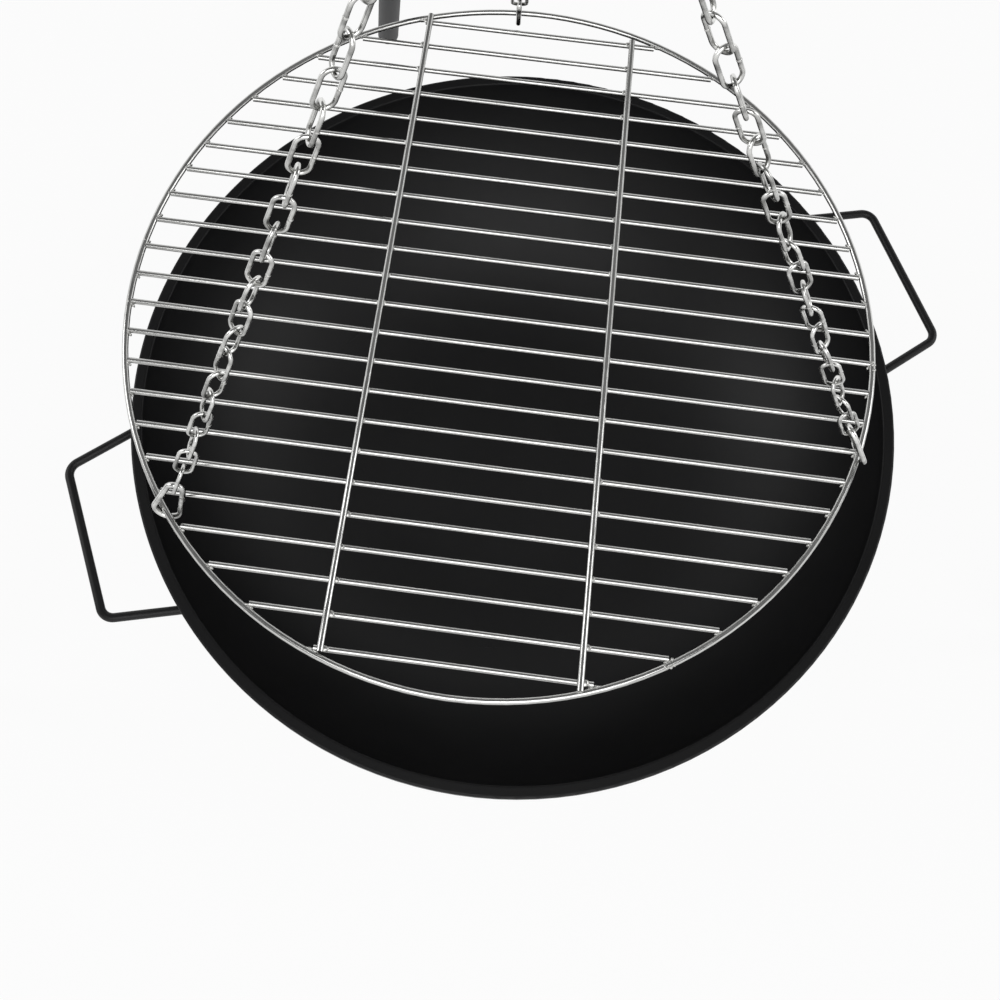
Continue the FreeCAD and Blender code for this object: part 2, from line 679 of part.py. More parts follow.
# Grate: a welded ring, parallel bars cut square to meet its inside, and two cross bars on top
grate_frame = Placement(grate_centre, Rotation(UP, dim("grate_turn")))
keep("grate_ring", torus("grate_ring", "dims.grate_ring_radius", "dims.grate_ring_wire / 2", grate_frame))
pitch = dim("grate_bar_pitch")
ring_radius = dim("grate_ring_radius")
ring_inside = ring_radius - dim("grate_ring_wire") / 2 + dim("weld_bite")
bars_each_side = int((ring_radius - dim("grate_bar_margin")) // pitch)
bars_frame = Placement(grate_centre, Rotation(UP, dim("grate_bar_turn")))
bars = []
for number in range(-bars_each_side, bars_each_side + 1):
    offset = number * pitch
    half_length = math.sqrt(ring_inside ** 2 - (abs(offset) + dim("grate_bar_wire") / 2) ** 2)
    bar_start = bars_frame.multVec(Vector(-half_length, offset, dim("grate_bar_rise")))
    bar_name = f"grate_bar_{number + bars_each_side + 1}"
    bar_edge = f"({abs(number)} * dims.grate_bar_pitch + dims.grate_bar_wire / 2)"
    bar_length = f"2 * sqrt((dims.grate_ring_radius - dims.grate_ring_wire / 2 + dims.weld_bite)^2 - {bar_edge}^2)"
    bars.append(cylinder(bar_name, "dims.grate_bar_wire / 2", bar_length,
                         along(bar_start, bars_frame.Rotation.multVec(Vector(1, 0, 0)))))
keep("grate_bars", group("grate_bars", bars))
cross_rise = (dim("grate_bar_rise") + dim("grate_bar_wire") / 2 + dim("cross_bar_wire") / 2 - dim("weld_bite"))
for side in ("left", "right"):
    ends = []
    for place, way in (("far", 1), ("near", -1)):
        across = dim(f"{side}_cross_bar_{place}")
        reach_out = math.sqrt(ring_radius ** 2 - across ** 2) + dim(f"{side}_cross_bar_{place}_end")
        ends.append(grate_frame.multVec(Vector(across, way * reach_out, cross_rise)))
    run = ends[0] - ends[1]
    node = f"grate_cross_bar_{side}"
    keep(node, cylinder(node, "dims.cross_bar_wire / 2", f"{run.Length}", along(ends[1], run)))


# Carabiners: pear-shaped wire hooks, each with a gate on a rivet
top_radius = dim("carabiner_top_radius")
bottom_radius = dim("carabiner_bottom_radius")
top_middle = Vector(0, 0, -top_radius)
bottom_middle = Vector(0, 0, bottom_radius - carabiner_centres)
flare = math.asin((bottom_radius - top_radius) / (top_middle - bottom_middle).Length)
gate_normal = Vector(math.cos(flare), 0, math.sin(flare))
back_normal = Vector(-gate_normal.x, 0, gate_normal.z)
gate_top = top_middle + gate_normal * top_radius
gate_bottom = bottom_middle + gate_normal * bottom_radius
back_top = top_middle + back_normal * top_radius
back_bottom = bottom_middle + back_normal * bottom_radius
gate_run = unit(gate_bottom - gate_top)
hinge_end = gate_top + gate_run * dim("carabiner_hinge_stub")
nose_end = gate_bottom - gate_run * dim("carabiner_nose_stub")
gate_turning = math.hypot(carabiner_radius, carabiner_radius) + gap
rivet_place = hinge_end + gate_run * gate_turning
gate_head = rivet_place - gate_run * carabiner_radius
tongue_half = dim("carabiner_tongue") / 2
tongue_round = carabiner_radius - gap
slot_half = tongue_half + dim("pin_gap")
rivets = []
for side in SIDES:
    azimuth = dim(f"{side}_chain_azimuth")
    spread = {"left": -1, "right": 1, "back": 0}[side] * math.radians(dim("gathering_ring_spread"))
    ring_tangent = Vector(math.cos(spread), 0, math.sin(spread))
    hang = ring_centre + Vector(math.sin(spread), 0, -math.cos(spread)) * dim("gathering_ring_radius")
    seat_point = grate_centre + polar(ring_radius, azimuth)
    direction = unit(seat_point - hang)
    outward = unit(polar(1, azimuth) - direction * polar(1, azimuth).dot(direction))
    twist = Rotation(-direction, dim(f"{side}_carabiner_twist"))
    wide = twist.multVec(outward)
    carabiner_top = seat_point - direction * grate_seat
    frame_place = facing(carabiner_top, -direction, wide)
    deep = frame_place.Rotation.multVec(Vector(0, 1, 0))

    # Chain between the gathering ring and this carabiner
    step = ((seat_point - hang).Length - chain_ends) / (grate_links - 1)
    first_width = unit(ring_tangent.cross(direction))
    chain(f"grate_chain_{side}", hang + direction * hung_on("gathering_ring_wire"), step, grate_links,
          first_width, deep, direction, int(dim(f"{side}_chain_half_turns")))

    # Frame: one bent wire with a flat tongue for the gate's rivet
    here = frame_place.multVec
    frame_edges = [
        line(here(nose_end), here(gate_bottom)),
        arc(here(gate_bottom), here(bottom_middle - UP * bottom_radius), here(back_bottom)),
        line(here(back_bottom), here(back_top)),
        arc(here(back_top), here(Vector()), here(gate_top)),
        line(here(gate_top), here(hinge_end)),
    ]
    bent_wire = wire_rod(f"{side}_carabiner_wire", frame_edges, "dims.carabiner_wire / 2")
    gate_axis = frame_place.Rotation.multVec(gate_run)
    gate_side = deep.cross(gate_axis)
    tongue_start = here(hinge_end) - deep * tongue_half - gate_side * tongue_round
    tongue = box(f"{side}_tongue", f"{2 * tongue_round}", "dims.carabiner_tongue", f"{gate_turning}",
                 facing(tongue_start, gate_axis, gate_side))
    tongue_end = cylinder(f"{side}_tongue_end", f"{tongue_round}", "dims.carabiner_tongue",
                          along(here(rivet_place) - deep * tongue_half, deep))
    rivet_start = along(here(rivet_place) - deep * carabiner_radius, deep)
    frame_hole = cylinder(f"{side}_frame_rivet_hole", "dims.carabiner_rivet / 2 + dims.seat_gap",
                          "dims.carabiner_wire", rivet_start)
    solid_frame = fuse(f"{side}_carabiner_solid", [bent_wire, tongue, tongue_end])
    keep(f"carabiner_{side}_frame", cut(f"carabiner_{side}_frame", solid_frame, [frame_hole]))

    # Gate: a rod slotted over the tongue
    gate_length = (nose_end - gate_head).Length - gap
    gate_rod = cylinder(f"{side}_gate_rod", "dims.carabiner_wire / 2", f"{gate_length}",
                        along(here(gate_head), gate_axis))
    slot_depth = carabiner_radius + tongue_round + gap
    slot_start = here(gate_head) - deep * slot_half - gate_side * carabiner_radius
    slot = box(f"{side}_gate_slot", "dims.carabiner_wire", f"{2 * slot_half}", f"{slot_depth}",
               facing(slot_start, gate_axis, gate_side))
    gate_hole = cylinder(f"{side}_gate_rivet_hole", "dims.carabiner_rivet / 2 + dims.pin_gap",
                         "dims.carabiner_wire", rivet_start)
    keep(f"carabiner_{side}_gate", cut(f"carabiner_{side}_gate", gate_rod, [slot, gate_hole]))
    rivets.append(cylinder(f"{side}_rivet", "dims.carabiner_rivet / 2", "dims.carabiner_wire", rivet_start))
keep("carabiner_rivets", group("carabiner_rivets", rivets))


# Every object must be sound before anything is written
doc.recompute()
for obj in doc.Objects:
    if {"Invalid", "Error"} & set(obj.State):
        raise RuntimeError(f"{obj.Label} failed: {obj.State}")
os.makedirs("parts", exist_ok=True)
for obj in sub_parts:
    if obj.Shape.isNull() or not obj.Shape.isValid():
        raise RuntimeError(f"{obj.Label} has no sound shape")
for obj in sub_parts:
    obj.Shape.exportStep(f"parts/{obj.Label}.step")
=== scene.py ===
"""Tripod swing grill over a fire bowl: its finishes, welds and studio, in metres."""
import math
import random

import bmesh
import bpy
from mathutils import Matrix, Vector, noise


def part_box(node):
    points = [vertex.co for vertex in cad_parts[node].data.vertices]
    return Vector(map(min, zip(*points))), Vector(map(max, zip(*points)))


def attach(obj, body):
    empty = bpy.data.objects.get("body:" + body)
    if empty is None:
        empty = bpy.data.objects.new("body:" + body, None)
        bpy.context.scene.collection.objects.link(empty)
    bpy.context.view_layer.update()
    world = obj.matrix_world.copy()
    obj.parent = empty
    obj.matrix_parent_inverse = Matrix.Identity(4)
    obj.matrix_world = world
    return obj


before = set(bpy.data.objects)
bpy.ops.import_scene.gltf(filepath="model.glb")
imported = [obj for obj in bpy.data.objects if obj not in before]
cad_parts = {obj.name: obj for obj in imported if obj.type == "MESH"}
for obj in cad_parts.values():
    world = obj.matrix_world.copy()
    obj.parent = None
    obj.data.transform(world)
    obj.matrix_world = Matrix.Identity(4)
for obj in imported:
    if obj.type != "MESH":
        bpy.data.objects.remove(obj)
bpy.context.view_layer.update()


# Tripod head: a thick round steel plate with three folded brackets bolted under it.
# The plate and brackets are sprayed the same satin dark grey as the legs.
class Shade:
    """A value or colour in a material, so that shader sums read as sums."""

    def __init__(self, tree, socket=None):
        self.tree = tree
        self.socket = socket

    def add(self, kind, settings=None, inputs=None, output=0):
        """Any node: its settings first, then the values or links of its sockets."""
        node = self.tree.nodes.new(kind)
        for name, value in (settings or {}).items():
            if name == "stops":
                ramp = node.color_ramp
                for element, (place, colour) in zip((ramp.elements[0], ramp.elements[1]), value):
                    element.position = place
                    element.color = colour
                for place, colour in value[2:]:
                    ramp.elements.new(place).color = colour
            else:
                setattr(node, name, value)
        for key, value in (inputs or {}).items():
            if isinstance(value, Shade):
                self.tree.links.new(value.socket, node.inputs[key])
            else:
                node.inputs[key].default_value = value
        return Shade(self.tree, node.outputs[output]) if node.outputs else None

    def math(self, operation, first, second=0.0):
        return self.add("ShaderNodeMath", {"operation": operation}, {0: first, 1: second})

    def __add__(self, other):
        return self.math("ADD", self, other)

    def __radd__(self, other):
        return self.math("ADD", other, self)

    def __sub__(self, other):
        return self.math("SUBTRACT", self, other)

    def __rsub__(self, other):
        return self.math("SUBTRACT", other, self)

    def __mul__(self, other):
        return self.math("MULTIPLY", self, other)

    def __rmul__(self, other):
        return self.math("MULTIPLY", other, self)

    def __pow__(self, other):
        return self.math("POWER", self, other)

    def axis(self, name):
        """X, Y or Z of this vector."""
        parts = self.add("ShaderNodeSeparateXYZ", {}, {"Vector": self})
        return Shade(self.tree, parts.socket.node.outputs[name])

    def between(self, low, high):
        """0 below low, 1 above high, and a smooth rise between them."""
        return self.add("ShaderNodeMapRange", {"interpolation_type": "SMOOTHSTEP"},
                        {"Value": self, "From Min": low, "From Max": high})

    def mixed(self, low, high):
        """Colour that runs from low to high as this value goes from 0 to 1."""
        return self.add("ShaderNodeMix", {"data_type": "RGBA"}, {"Factor": self, "A": low, "B": high},
                        output="Result")


def new_finish(name):
    """Material, its shader node and a Shade to start its sums from."""
    material = bpy.data.materials.new(name)
    material.use_nodes = True
    shader = material.node_tree.nodes["Principled BSDF"]
    return material, shader, Shade(material.node_tree)


def connect(shader, **values):
    """Set the shader's sockets by name, with _ for a space."""
    for name, value in values.items():
        socket = shader.inputs[name.replace("_", " ")]
        if isinstance(value, Shade):
            value.tree.links.new(value.socket, socket)
        else:
            socket.default_value = value


def speckle(shade, place, scale, detail=3.0, roughness=0.6):
    return shade.add("ShaderNodeTexNoise", {}, {"Vector": place, "Scale": scale, "Detail": detail,
                                                "Roughness": roughness})


def dented(shade, height, strength, distance):
    return shade.add("ShaderNodeBump", {}, {"Height": height, "Strength": strength, "Distance": distance})


def dress(material, *nodes):
    for node in nodes:
        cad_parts[node].data.materials.clear()
        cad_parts[node].data.materials.append(material)


leg_paint, shader, shade = new_finish("satin_grey_paint")
place = shade.add("ShaderNodeTexCoord", output="Object")
cloud = speckle(shade, place, 14.0)
grain = speckle(shade, place, 900.0, detail=2.0)
scuff = speckle(shade, place, 60.0, detail=6.0).between(0.62, 0.72)
paint_tone = (cloud * 0.5 + scuff * 0.5).mixed((0.080, 0.0805, 0.082, 1), (0.108, 0.1085, 0.110, 1))
connect(shader, Base_Color=paint_tone,
        Roughness=0.46 + cloud * 0.12 + scuff * 0.1, Normal=dented(shade, grain, 0.12, 0.0004),
        Specular_IOR_Level=0.12)
dress(leg_paint, "head_plate", "leg_bracket_back", "leg_bracket_left", "leg_bracket_right")


# Fasteners of the head: hexagon bolts and nuts, the stop pins and the forged eye bolt.
# They are zinc plated, with fine tool marks and a dull patch here and there.
bolt_zinc, shader, shade = new_finish("plated_fastener")
place = shade.add("ShaderNodeTexCoord", output="Object")
cloud = speckle(shade, place, 120.0)
turned = shade.add("ShaderNodeMapping", {}, {"Vector": place, "Scale": (90.0, 90.0, 1600.0)})
tool_mark = speckle(shade, turned, 1.0)
connect(shader, Base_Color=cloud.mixed((0.50, 0.50, 0.48, 1), (0.72, 0.72, 0.70, 1)), Metallic=1.0,
        Roughness=0.22 + cloud * 0.22, Normal=dented(shade, tool_mark, 0.15, 0.0003))
dress(bolt_zinc, "bracket_bolts", "bracket_nuts", "pivot_bolts", "pivot_nuts", "stop_pins", "eye_bolt",
      "eye_bolt_nuts")


# Legs: two round steel tubes each, plugged together over an inner sleeve and painted grey.
# Moulded caps close the top, and a domed cap stands on the ground.
SIDES = ("back", "left", "right")
cap_plastic, shader, shade = new_finish("moulded_grey_cap")
place = shade.add("ShaderNodeTexCoord", output="Object")
cloud = speckle(shade, place, 40.0)
grain = speckle(shade, place, 1500.0, detail=1.0)
connect(shader, Base_Color=cloud.mixed((0.060, 0.061, 0.064, 1), (0.085, 0.086, 0.089, 1)),
        Roughness=0.5 + cloud * 0.15, Normal=dented(shade, grain, 0.2, 0.0003))
for side in SIDES:
    dress(leg_paint, f"leg_{side}_upper_tube", f"leg_{side}_lower_tube")
    dress(bolt_zinc, f"leg_{side}_coupler")
    dress(cap_plastic, f"leg_{side}_top_cap", f"leg_{side}_foot_cap")


# Chains, hook and gathering ring: bright zinc wire, bent and butt welded link by link.
# Each link keeps a small flattened collar of weld in the middle of one side.
def bright_zinc(name, streaks, dark=(0.12, 0.12, 0.116, 1), light=(0.70, 0.70, 0.686, 1)):
    """Drawn zinc wire with streaks and freckles, and a painted reflection: lighter on top and darker on its
    flanks.
    """
    material, shader, shade = new_finish(name)
    place = shade.add("ShaderNodeTexCoord", output="Object")
    streak = streaks(shade, place)
    freckle = speckle(shade, place, 420.0, detail=4.0)
    dull = speckle(shade, place, 70.0, detail=2.0).between(0.45, 0.7)
    bright = (streak * 0.8 + freckle * 0.2).between(0.36, 0.62)
    # Painted reflection: the base colour is lighter where the wire faces up and darker where it faces
    # sideways or down.
    facing = shade.add("ShaderNodeTexCoord", output="Normal")
    painted_top_sheen = facing.axis("Z").between(-0.1, 0.8)
    connect(shader, Base_Color=(bright * 0.4 + painted_top_sheen * 0.6).mixed(dark, light), Metallic=1.0,
            Roughness=0.11 + dull * 0.10 + (1 - bright) * 0.08,
            Normal=dented(shade, streak * 0.8 + freckle * 0.2, 0.10, 0.0003))
    return material


def even_streaks(shade, place):
    return speckle(shade, place, 70.0, detail=2.0)


chain_zinc = bright_zinc("bright_chain_zinc", even_streaks,
                         dark=(0.09, 0.09, 0.086, 1), light=(0.88, 0.88, 0.86, 1))
dress(chain_zinc, "hanging_hook", "main_chain", "gathering_ring", "grate_chain_left", "grate_chain_right",
      "grate_chain_back")


def loose_solids(node):
    """Corner points of each separate solid in a node."""
    mesh = bmesh.new()
    mesh.from_mesh(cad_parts[node].data)
    bmesh.ops.remove_doubles(mesh, verts=mesh.verts, dist=1e-6)
    waiting = dict.fromkeys(mesh.verts)
    solids = []
    while waiting:
        front = [waiting.popitem()[0]]
        found = []
        while front:
            corner = front.pop()
            found.append(corner.co.copy())
            for edge in corner.link_edges:
                other = edge.other_vert(corner)
                if other in waiting:
                    del waiting[other]
                    front.append(other)
        solids.append(found)
    mesh.free()
    solids.sort(key=lambda points: sum(point.z for point in points) / len(points))
    return solids


def middle_of(points):
    low = Vector([min(point[axis] for point in points) for axis in range(3)])
    high = Vector([max(point[axis] for point in points) for axis in range(3)])
    return (low + high) / 2


def new_piece(name, mesh, body, material):
    """Finished mesh as a smooth piece that rides on a body."""
    data = bpy.data.meshes.new(name)
    mesh.to_mesh(data)
    mesh.free()
    data.polygons.foreach_set("use_smooth", [True] * len(data.polygons))
    data.materials.append(material)
    piece = bpy.data.objects.new(name, data)
    bpy.context.scene.collection.objects.link(piece)
    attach(piece, body)
    return piece


def lump(mesh, middle, long_way, flat_way, sizes, uneven, rings=8, segments=12):
    """Uneven bead of metal: half sizes along long_way, along flat_way and across both."""
    long_way = long_way.normalized()
    flat_way = (flat_way - long_way * flat_way.dot(long_way)).normalized()
    across = long_way.cross(flat_way)
    turn = Matrix((long_way, flat_way, across)).transposed().to_4x4()
    made = bmesh.ops.create_uvsphere(mesh, u_segments=segments, v_segments=rings, radius=1.0)
    for corner in made["verts"]:
        swell = 1 + uneven * noise.noise(corner.co * 1.7 + middle * 400)
        local = Vector((corner.co.x * sizes[0], corner.co.y * sizes[1], corner.co.z * sizes[2])) * swell
        corner.co = middle + turn @ local


LINK_WIRE = 0.003
LINK_WIDTH = 0.0155
SEAM_COLLAR = (0.0016, 0.00178, 0.00178)
weld_metal, shader, shade = new_finish("grey_weld_metal")
place = shade.add("ShaderNodeTexCoord", output="Object")
ripple = speckle(shade, place, 500.0, detail=3.0)
cloud = speckle(shade, place, 130.0)
connect(shader, Base_Color=cloud.mixed((0.40, 0.40, 0.385, 1), (0.70, 0.70, 0.68, 1)), Metallic=1.0,
        Roughness=0.2 + ripple * 0.2, Normal=dented(shade, ripple, 0.5, 0.0006))


def longest_and_wide(points, middle):
    """Directions of a link's length and of its width."""
    far = max(points, key=lambda point: (point - middle).length)
    length = (far - middle).normalized()
    offsets = [(point - middle) - length * (point - middle).dot(length) for point in points]
    width = max(offsets, key=lambda offset: offset.length).normalized()
    return length, width


def link_seams(node, body):
    """Weld collar on one side of every link of a chain."""
    seams = bmesh.new()
    chooser = random.Random(node)
    for points in loose_solids(node):
        centre = sum(points, Vector()) / len(points)
        length, width = longest_and_wide(points, centre)
        side = chooser.choice((-1, 1))
        seam = centre + width * (side * (LINK_WIDTH - LINK_WIRE) / 2)
        seam += length * chooser.uniform(-0.001, 0.001)
        lump(seams, seam, length, width, SEAM_COLLAR, uneven=0.12)
    return new_piece(f"{node}_seams", seams, body, weld_metal)


link_seams("main_chain", "upper_chain")
for side in SIDES:
    link_seams(f"grate_chain_{side}", "hung_grate")


# Grate: zinc-plated rods laid side by side, butt welded inside a ring of thicker wire.
# Two cross bars lie on top, spot welded to each rod, and every joint has its bead of weld.
def bar_streaks(shade, place):
    stretched = shade.add("ShaderNodeMapping", {}, {"Vector": place, "Scale": (9.0, 700.0, 700.0)})
    return speckle(shade, stretched, 1.0, detail=4.0)


def cross_streaks(shade, place):
    stretched = shade.add("ShaderNodeMapping", {}, {"Vector": place, "Scale": (700.0, 9.0, 700.0)})
    return speckle(shade, stretched, 1.0, detail=4.0)


ring_low, ring_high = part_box("grate_ring")
grate_middle = (ring_low + ring_high) / 2
RING_WIRE = ring_high.z - ring_low.z
RING_RADIUS = (ring_high.x - ring_low.x) / 2 - RING_WIRE / 2


def ring_streaks(shade, place):
    """Streaks that follow the ring round."""
    offset = shade.add("ShaderNodeVectorMath", {"operation": "SUBTRACT"}, {0: place, 1: grate_middle})
    flat_x = offset.axis("X")
    flat_y = offset.axis("Y")
    angle = shade.math("ARCTAN2", flat_y, flat_x)
    radius = (flat_x * flat_x + flat_y * flat_y) ** 0.5
    along_wire = shade.add("ShaderNodeCombineXYZ", {},
                           {"X": angle * 3.0, "Y": radius * 700.0, "Z": offset.axis("Z") * 700.0})
    return speckle(shade, along_wire, 1.0, detail=4.0)


dress(bright_zinc("bright_bar_zinc", bar_streaks), "grate_bars")
dress(bright_zinc("bright_cross_bar_zinc", cross_streaks), "grate_cross_bar_left", "grate_cross_bar_right")
dress(bright_zinc("bright_ring_zinc", ring_streaks), "grate_ring")

BAR_RADIUS = 0.00225
BAR_TURN = math.radians(-1.75)
bar_run = Vector((math.cos(BAR_TURN), math.sin(BAR_TURN), 0))


def end_centre(points, way):
    """Middle of the flat end that a rod shows towards way."""
    reach = max(point.dot(way) for point in points)
    face = [point for point in points if point.dot(way) > reach - 2e-4]
    return sum(face, Vector()) / len(face)


def to_ring(point, way):
    """Distance from a point to the ring's middle line, going along way."""
    offset = Vector((point.x - grate_middle.x, point.y - grate_middle.y, 0))
    ahead = offset.dot(way)
    return math.sqrt(ahead * ahead + RING_RADIUS ** 2 - offset.length_squared) - ahead


UPWARD = Vector((0, 0, 1))
WELD_UNEVEN = 0.25
HEAVY_WELDS = (math.radians(-62), math.radians(-2), math.radians(112))
HEAVY_REACH = math.radians(2.6)
HEAVY_DROPS = 12
welds = bmesh.new()
chooser = random.Random(7)
bars = loose_solids("grate_bars")
for points in bars:
    for way in (bar_run, -bar_run):
        end = end_centre(points, way)
        rim_side = Vector((-way.y, way.x, 0))
        if rim_side.dot(end - grate_middle) < 0:
            rim_side.negate()

        # Fill between the bar's end and the ring, on the side where they touch
        bead = BAR_RADIUS * chooser.uniform(0.85, 1.2)
        for share in (0.95, 0.4):
            face = end + rim_side * (BAR_RADIUS * share)
            gap = to_ring(face, way)
            lump(welds, face + way * (gap / 2 - BAR_RADIUS * 0.3), way, UPWARD,
                 (gap / 2 + bead * 0.27, bead * 0.85, bead * 0.4), WELD_UNEVEN)

        # Fillets in the sharp and in the open corner between bar and ring
        corner = end + rim_side * BAR_RADIUS
        outward = Vector((corner.x - grate_middle.x, corner.y - grate_middle.y, 0)).normalized()
        sharp_side = Vector((-outward.y, outward.x, 0))
        if sharp_side.dot(way) > 0:
            sharp_side.negate()
        between = (sharp_side - way).normalized()
        lump(welds, corner + between * (bead * 0.67), between, UPWARD,
             (bead * 0.93, bead * 0.75, bead * 0.45), WELD_UNEVEN)
        lump(welds, corner + outward * (BAR_RADIUS * 0.18) - sharp_side * (bead * 0.53), sharp_side, UPWARD,
             (bead * 0.9, bead * 0.7, bead * 0.45), WELD_UNEVEN)

        # Drops of spatter, many where the weld was made in a hurry
        place_round = math.atan2(outward.y, outward.x)
        hurried = min(abs(place_round - angle) for angle in HEAVY_WELDS) < HEAVY_REACH
        drop_size = BAR_RADIUS * (0.58 if hurried else 0.33)
        for drop in range(HEAVY_DROPS if hurried else chooser.choice((0, 0, 0, 1, 1, 2))):
            drop_place = corner + sharp_side * (BAR_RADIUS * chooser.uniform(-1.8, 1.8))
            drop_place += outward * (BAR_RADIUS * chooser.uniform(-0.2, 1.9))
            drop_place += UPWARD * (BAR_RADIUS * chooser.uniform(0.1, 0.9))
            size = drop_size * chooser.uniform(0.65, 1.3)
            lump(welds, drop_place, way, UPWARD, (size, size, size), WELD_UNEVEN, rings=6, segments=8)
new_piece("grate_ring_welds", welds, "hung_grate", weld_metal)

spots = bmesh.new()
for node in ("grate_cross_bar_left", "grate_cross_bar_right"):
    points = loose_solids(node)[0]
    cross_run = (max(points, key=lambda point: point.y) - min(points, key=lambda point: point.y)).normalized()
    low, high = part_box(node)
    cross_middle = (low + high) / 2
    for bar_points in bars:
        bar_middle = middle_of(bar_points)
        offset = (bar_middle - cross_middle).xy
        along_bar = -cross_run.xy.cross(offset) / cross_run.xy.cross(bar_run.xy)
        crossing = bar_middle + bar_run * along_bar
        past_end = abs(crossing.y - cross_middle.y) > (high.y - low.y) / 2 - BAR_RADIUS
        if past_end or abs(along_bar) > (end_centre(bar_points, bar_run) - bar_middle).length:
            continue
        crossing.z = (cross_middle.z + bar_middle.z) / 2
        bead = BAR_RADIUS * chooser.uniform(0.85, 1.15)
        lump(spots, crossing, bar_run, UPWARD, (bead * 1.5, bead * 0.55, bead * 1.05), WELD_UNEVEN)
new_piece("cross_bar_spot_welds", spots, "hung_grate", weld_metal)


# Carabiners: bent from zinc-plated wire, with a sprung gate on a peened rivet.
# The plating is a little brighter than on the chain.
carabiner_zinc = bright_zinc("bright_carabiner_zinc", even_streaks,
                             dark=(0.10, 0.10, 0.096, 1), light=(0.90, 0.90, 0.88, 1))
for side in SIDES:
    dress(carabiner_zinc, f"carabiner_{side}_frame", f"carabiner_{side}_gate")
dress(bolt_zinc, "carabiner_rivets")


# Fire bowl: pressed steel sheet with a turned rim, sprayed satin black inside and out.
# The paint has a fine orange peel, is darkest on the rim and a touch dusty towards the bottom.
bowl_low, bowl_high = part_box("bowl")
bowl_middle = (bowl_low + bowl_high) / 2
bowl_paint, shader, shade = new_finish("satin_black_paint")
place = shade.add("ShaderNodeTexCoord", output="Object")
height = place.axis("Z")
cloud = speckle(shade, place, 9.0, detail=5.0)
peel = speckle(shade, place, 650.0, detail=2.0)
dust = speckle(shade, place, 1400.0, detail=2.0).between(0.66, 0.74)
depth = bowl_high.z - bowl_low.z
rim = height.between(bowl_high.z - depth * 0.06, bowl_high.z - depth * 0.02)
bottom = 1 - height.between(bowl_low.z + depth * 0.05, bowl_low.z + depth * 0.6)
paint_tone = cloud * 0.35 + dust * 0.3 + bottom * 0.32 - rim * 0.25
connect(shader, Base_Color=paint_tone.mixed((0.0040, 0.0040, 0.0044, 1), (0.016, 0.016, 0.0165, 1)),
        Roughness=0.40 + cloud * 0.12, Normal=dented(shade, peel, 0.10, 0.0005),
        Specular_IOR_Level=0.27)
dress(bowl_paint, "bowl", "bowl_foot_front", "bowl_foot_left", "bowl_foot_right")


# Handles: black rod bent to a flat U and welded to the bowl's side below the rim.
# The bowl's feet are bent flat bar, welded under the dish in the same way.
handle_paint, shader, shade = new_finish("satin_black_rod_paint")
place = shade.add("ShaderNodeTexCoord", output="Object")
cloud = speckle(shade, place, 30.0, detail=4.0)
peel = speckle(shade, place, 800.0, detail=2.0)
connect(shader, Base_Color=cloud.mixed((0.0055, 0.0055, 0.006, 1), (0.014, 0.014, 0.0145, 1)),
        Roughness=0.36 + cloud * 0.12, Normal=dented(shade, peel, 0.12, 0.0004),
        Specular_IOR_Level=0.3)
dress(handle_paint, "bowl_handle_left", "bowl_handle_right")

ROD = 0.008
ROD_BEAD = (0.0021, 0.0016, 0.0018)
ROD_BEAD_STEPS = 14
rod_welds = bmesh.new()
for side in ("left", "right"):
    points = loose_solids(f"bowl_handle_{side}")[0]
    low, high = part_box(f"bowl_handle_{side}")
    rod_height = (low.z + high.z) / 2
    ranked = sorted(points, key=lambda point: (point - bowl_middle).xy.length)
    first = ranked[0]
    second = next(point for point in ranked if (point - first).length > 0.08)
    for end in (first, second):
        outward = Vector((end.x - bowl_middle.x, end.y - bowl_middle.y, 0)).normalized()
        near_end = [point for point in points if (point - end).length < ROD * 1.2]
        root = middle_of(near_end)
        tangent = Vector((-outward.y, outward.x, 0))
        for step in range(ROD_BEAD_STEPS):
            angle = math.tau * step / ROD_BEAD_STEPS
            bead = Vector((root.x, root.y, rod_height)) + tangent * (math.cos(angle) * ROD * 0.52)
            bead += (UPWARD * (ROD * 0.52) + outward * (ROD * 0.25)) * math.sin(angle)
            lump(rod_welds, bead, tangent, outward, ROD_BEAD, WELD_UNEVEN, rings=6, segments=8)
new_piece("handle_welds", rod_welds, "fire_bowl", handle_paint)

FOOT_BEAD = (0.0026, 0.0022, 0.0022)
FOOT_BEAD_STEPS = 15
foot_welds = bmesh.new()
for side in ("front", "left", "right"):
    points = loose_solids(f"bowl_foot_{side}")[0]
    top = max(point.z for point in points)
    crown = [point for point in points if point.z > top - 0.012]
    start = min(crown, key=lambda point: point.x * 3 + point.y)
    finish = max(crown, key=lambda point: point.x * 3 + point.y)
    for step in range(FOOT_BEAD_STEPS):
        bead = start.lerp(finish, step / (FOOT_BEAD_STEPS - 1))
        lump(foot_welds, bead, finish - start, UPWARD, FOOT_BEAD, WELD_UNEVEN, rings=6, segments=8)
new_piece("foot_welds", foot_welds, "fire_bowl", bowl_paint)


# Studio: a pale floor and a round backdrop that read white, soft lamps, and the camera of the view.
# Both show white to the camera and in the bright metal, and the floor keeps a faint shadow.
studio_white = bpy.data.materials.new("studio_white")
studio_white.use_nodes = True
studio_white.node_tree.nodes.clear()
shade = Shade(studio_white.node_tree)
rays = shade.add("ShaderNodeLightPath").socket.node.outputs
seen = Shade(shade.tree, rays["Is Camera Ray"])
for kind in ("Is Glossy Ray", "Is Transmission Ray"):
    seen = shade.math("MAXIMUM", seen, Shade(shade.tree, rays[kind]))
matt = shade.add("ShaderNodeBsdfDiffuse", {}, {"Color": (0.82, 0.82, 0.82, 1)})
glow = shade.add("ShaderNodeEmission", {}, {"Color": (1, 1, 1, 1), "Strength": 1.0})
both = shade.add("ShaderNodeMixShader", {}, {0: seen * 0.94, 1: matt, 2: glow})
shade.add("ShaderNodeOutputMaterial", {}, {"Surface": both})


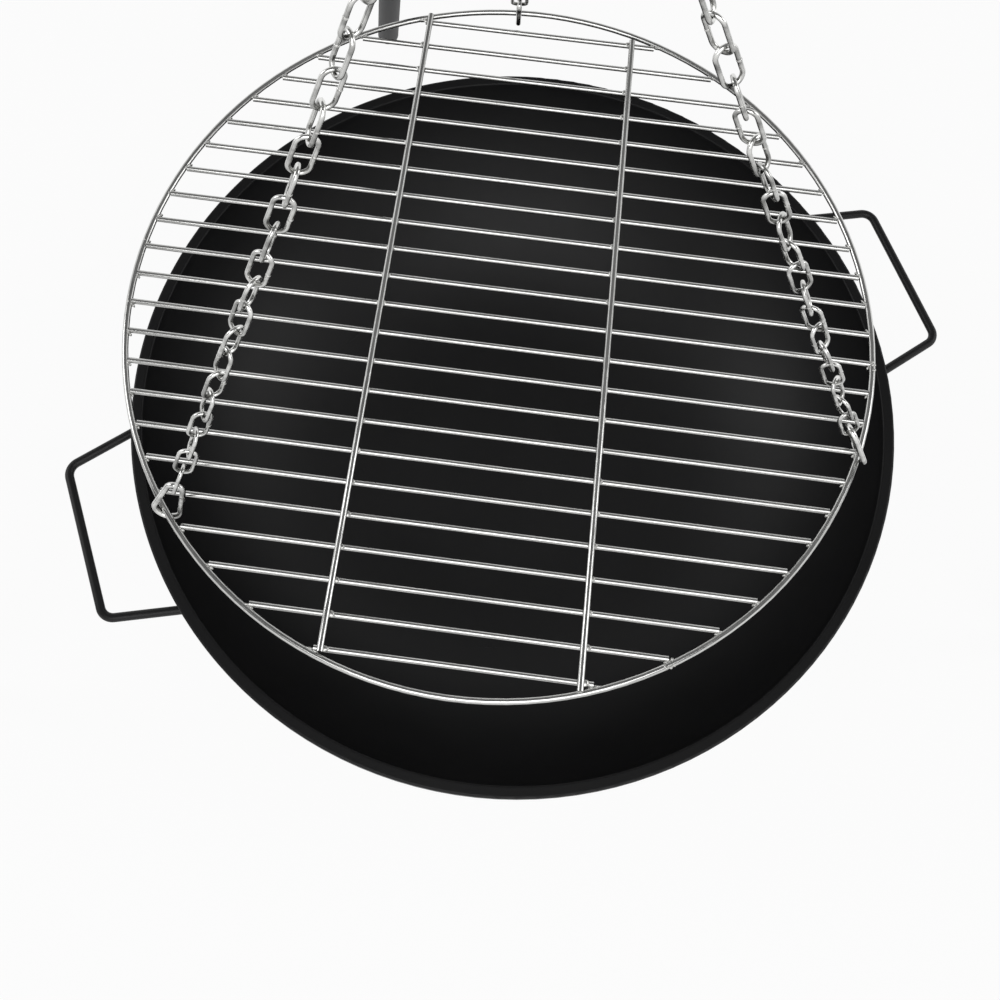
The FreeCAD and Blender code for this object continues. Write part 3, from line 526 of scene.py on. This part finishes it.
def stage_set(name, mesh, height):
    """Studio surface that isn't part of the object."""
    data = bpy.data.meshes.new(name)
    mesh.to_mesh(data)
    mesh.free()
    data.materials.append(studio_white)
    surface = bpy.data.objects.new(name, data)
    surface.location.z = height
    bpy.context.scene.collection.objects.link(surface)


STUDIO_RADIUS = 8.0
BACKDROP_HEIGHT = 5.0
FLOOR_OVERLAP = 0.1
FLOOR_DROP = 0.0006
floor_mesh = bmesh.new()
bmesh.ops.create_circle(floor_mesh, cap_ends=True, segments=96, radius=STUDIO_RADIUS + FLOOR_OVERLAP)
stage_set("studio_floor", floor_mesh, -FLOOR_DROP)
backdrop_mesh = bmesh.new()
bmesh.ops.create_cone(backdrop_mesh, segments=96, radius1=STUDIO_RADIUS, radius2=STUDIO_RADIUS,
                      depth=BACKDROP_HEIGHT)
stage_set("studio_backdrop", backdrop_mesh, BACKDROP_HEIGHT / 2 - FLOOR_OVERLAP)

world = bpy.data.worlds.new("studio_world")
bpy.context.scene.world = world
world.use_nodes = True
world.node_tree.nodes.clear()
shade = Shade(world.node_tree)
sky = shade.add("ShaderNodeBackground", {}, {"Color": (1, 1, 1, 1), "Strength": 0.2})
shade.add("ShaderNodeOutputWorld", {}, {"Surface": sky})


def soft_lamp(name, place, aim, size, watts):
    lamp = bpy.data.lights.new(name, "AREA")
    lamp.shape = "RECTANGLE"
    lamp.size, lamp.size_y = size
    lamp.energy = watts
    holder = bpy.data.objects.new(name, lamp)
    holder.location = place
    holder.rotation_euler = (Vector(aim) - Vector(place)).to_track_quat("-Z", "Y").to_euler()
    bpy.context.scene.collection.objects.link(holder)


soft_lamp("front_softbox", (0.1, -1.9, 2.8), (0, -0.1, 0.3), (2.6, 2.2), 44)
soft_lamp("left_softbox", (-2.6, 0.2, 2.0), (0, 0, 0.4), (1.0, 1.8), 16)
soft_lamp("right_softbox", (2.6, 0.3, 1.8), (0, 0, 0.4), (0.9, 1.8), 13)

CAMERA_PLACE = Vector((-0.0128, -0.5542, 1.4457))
CAMERA_PITCH = math.radians(65.15)
CAMERA_ROLL = math.radians(3.294)
CAMERA_YAW = math.radians(2.432)
SENSOR_WIDTH = 36.0
PHOTO_PIXELS = 1000
FOCAL_PIXELS = 1387.5
CENTRE_ROW = 289.5
view = bpy.data.cameras.new("photo_camera")
view.sensor_width = SENSOR_WIDTH
view.lens = SENSOR_WIDTH * FOCAL_PIXELS / PHOTO_PIXELS
view.shift_y = CENTRE_ROW / PHOTO_PIXELS - 0.5
view.clip_start = 0.01
camera = bpy.data.objects.new("photo_camera", view)
facing = Matrix.Rotation(CAMERA_YAW, 4, "Z") @ Matrix.Rotation(math.pi / 2 - CAMERA_PITCH, 4, "X")
camera.matrix_world = Matrix.Translation(CAMERA_PLACE) @ facing @ Matrix.Rotation(CAMERA_ROLL, 4, "Z")
bpy.context.scene.collection.objects.link(camera)
bpy.context.scene.camera = camera
bpy.context.scene.view_settings.view_transform = "Standard"
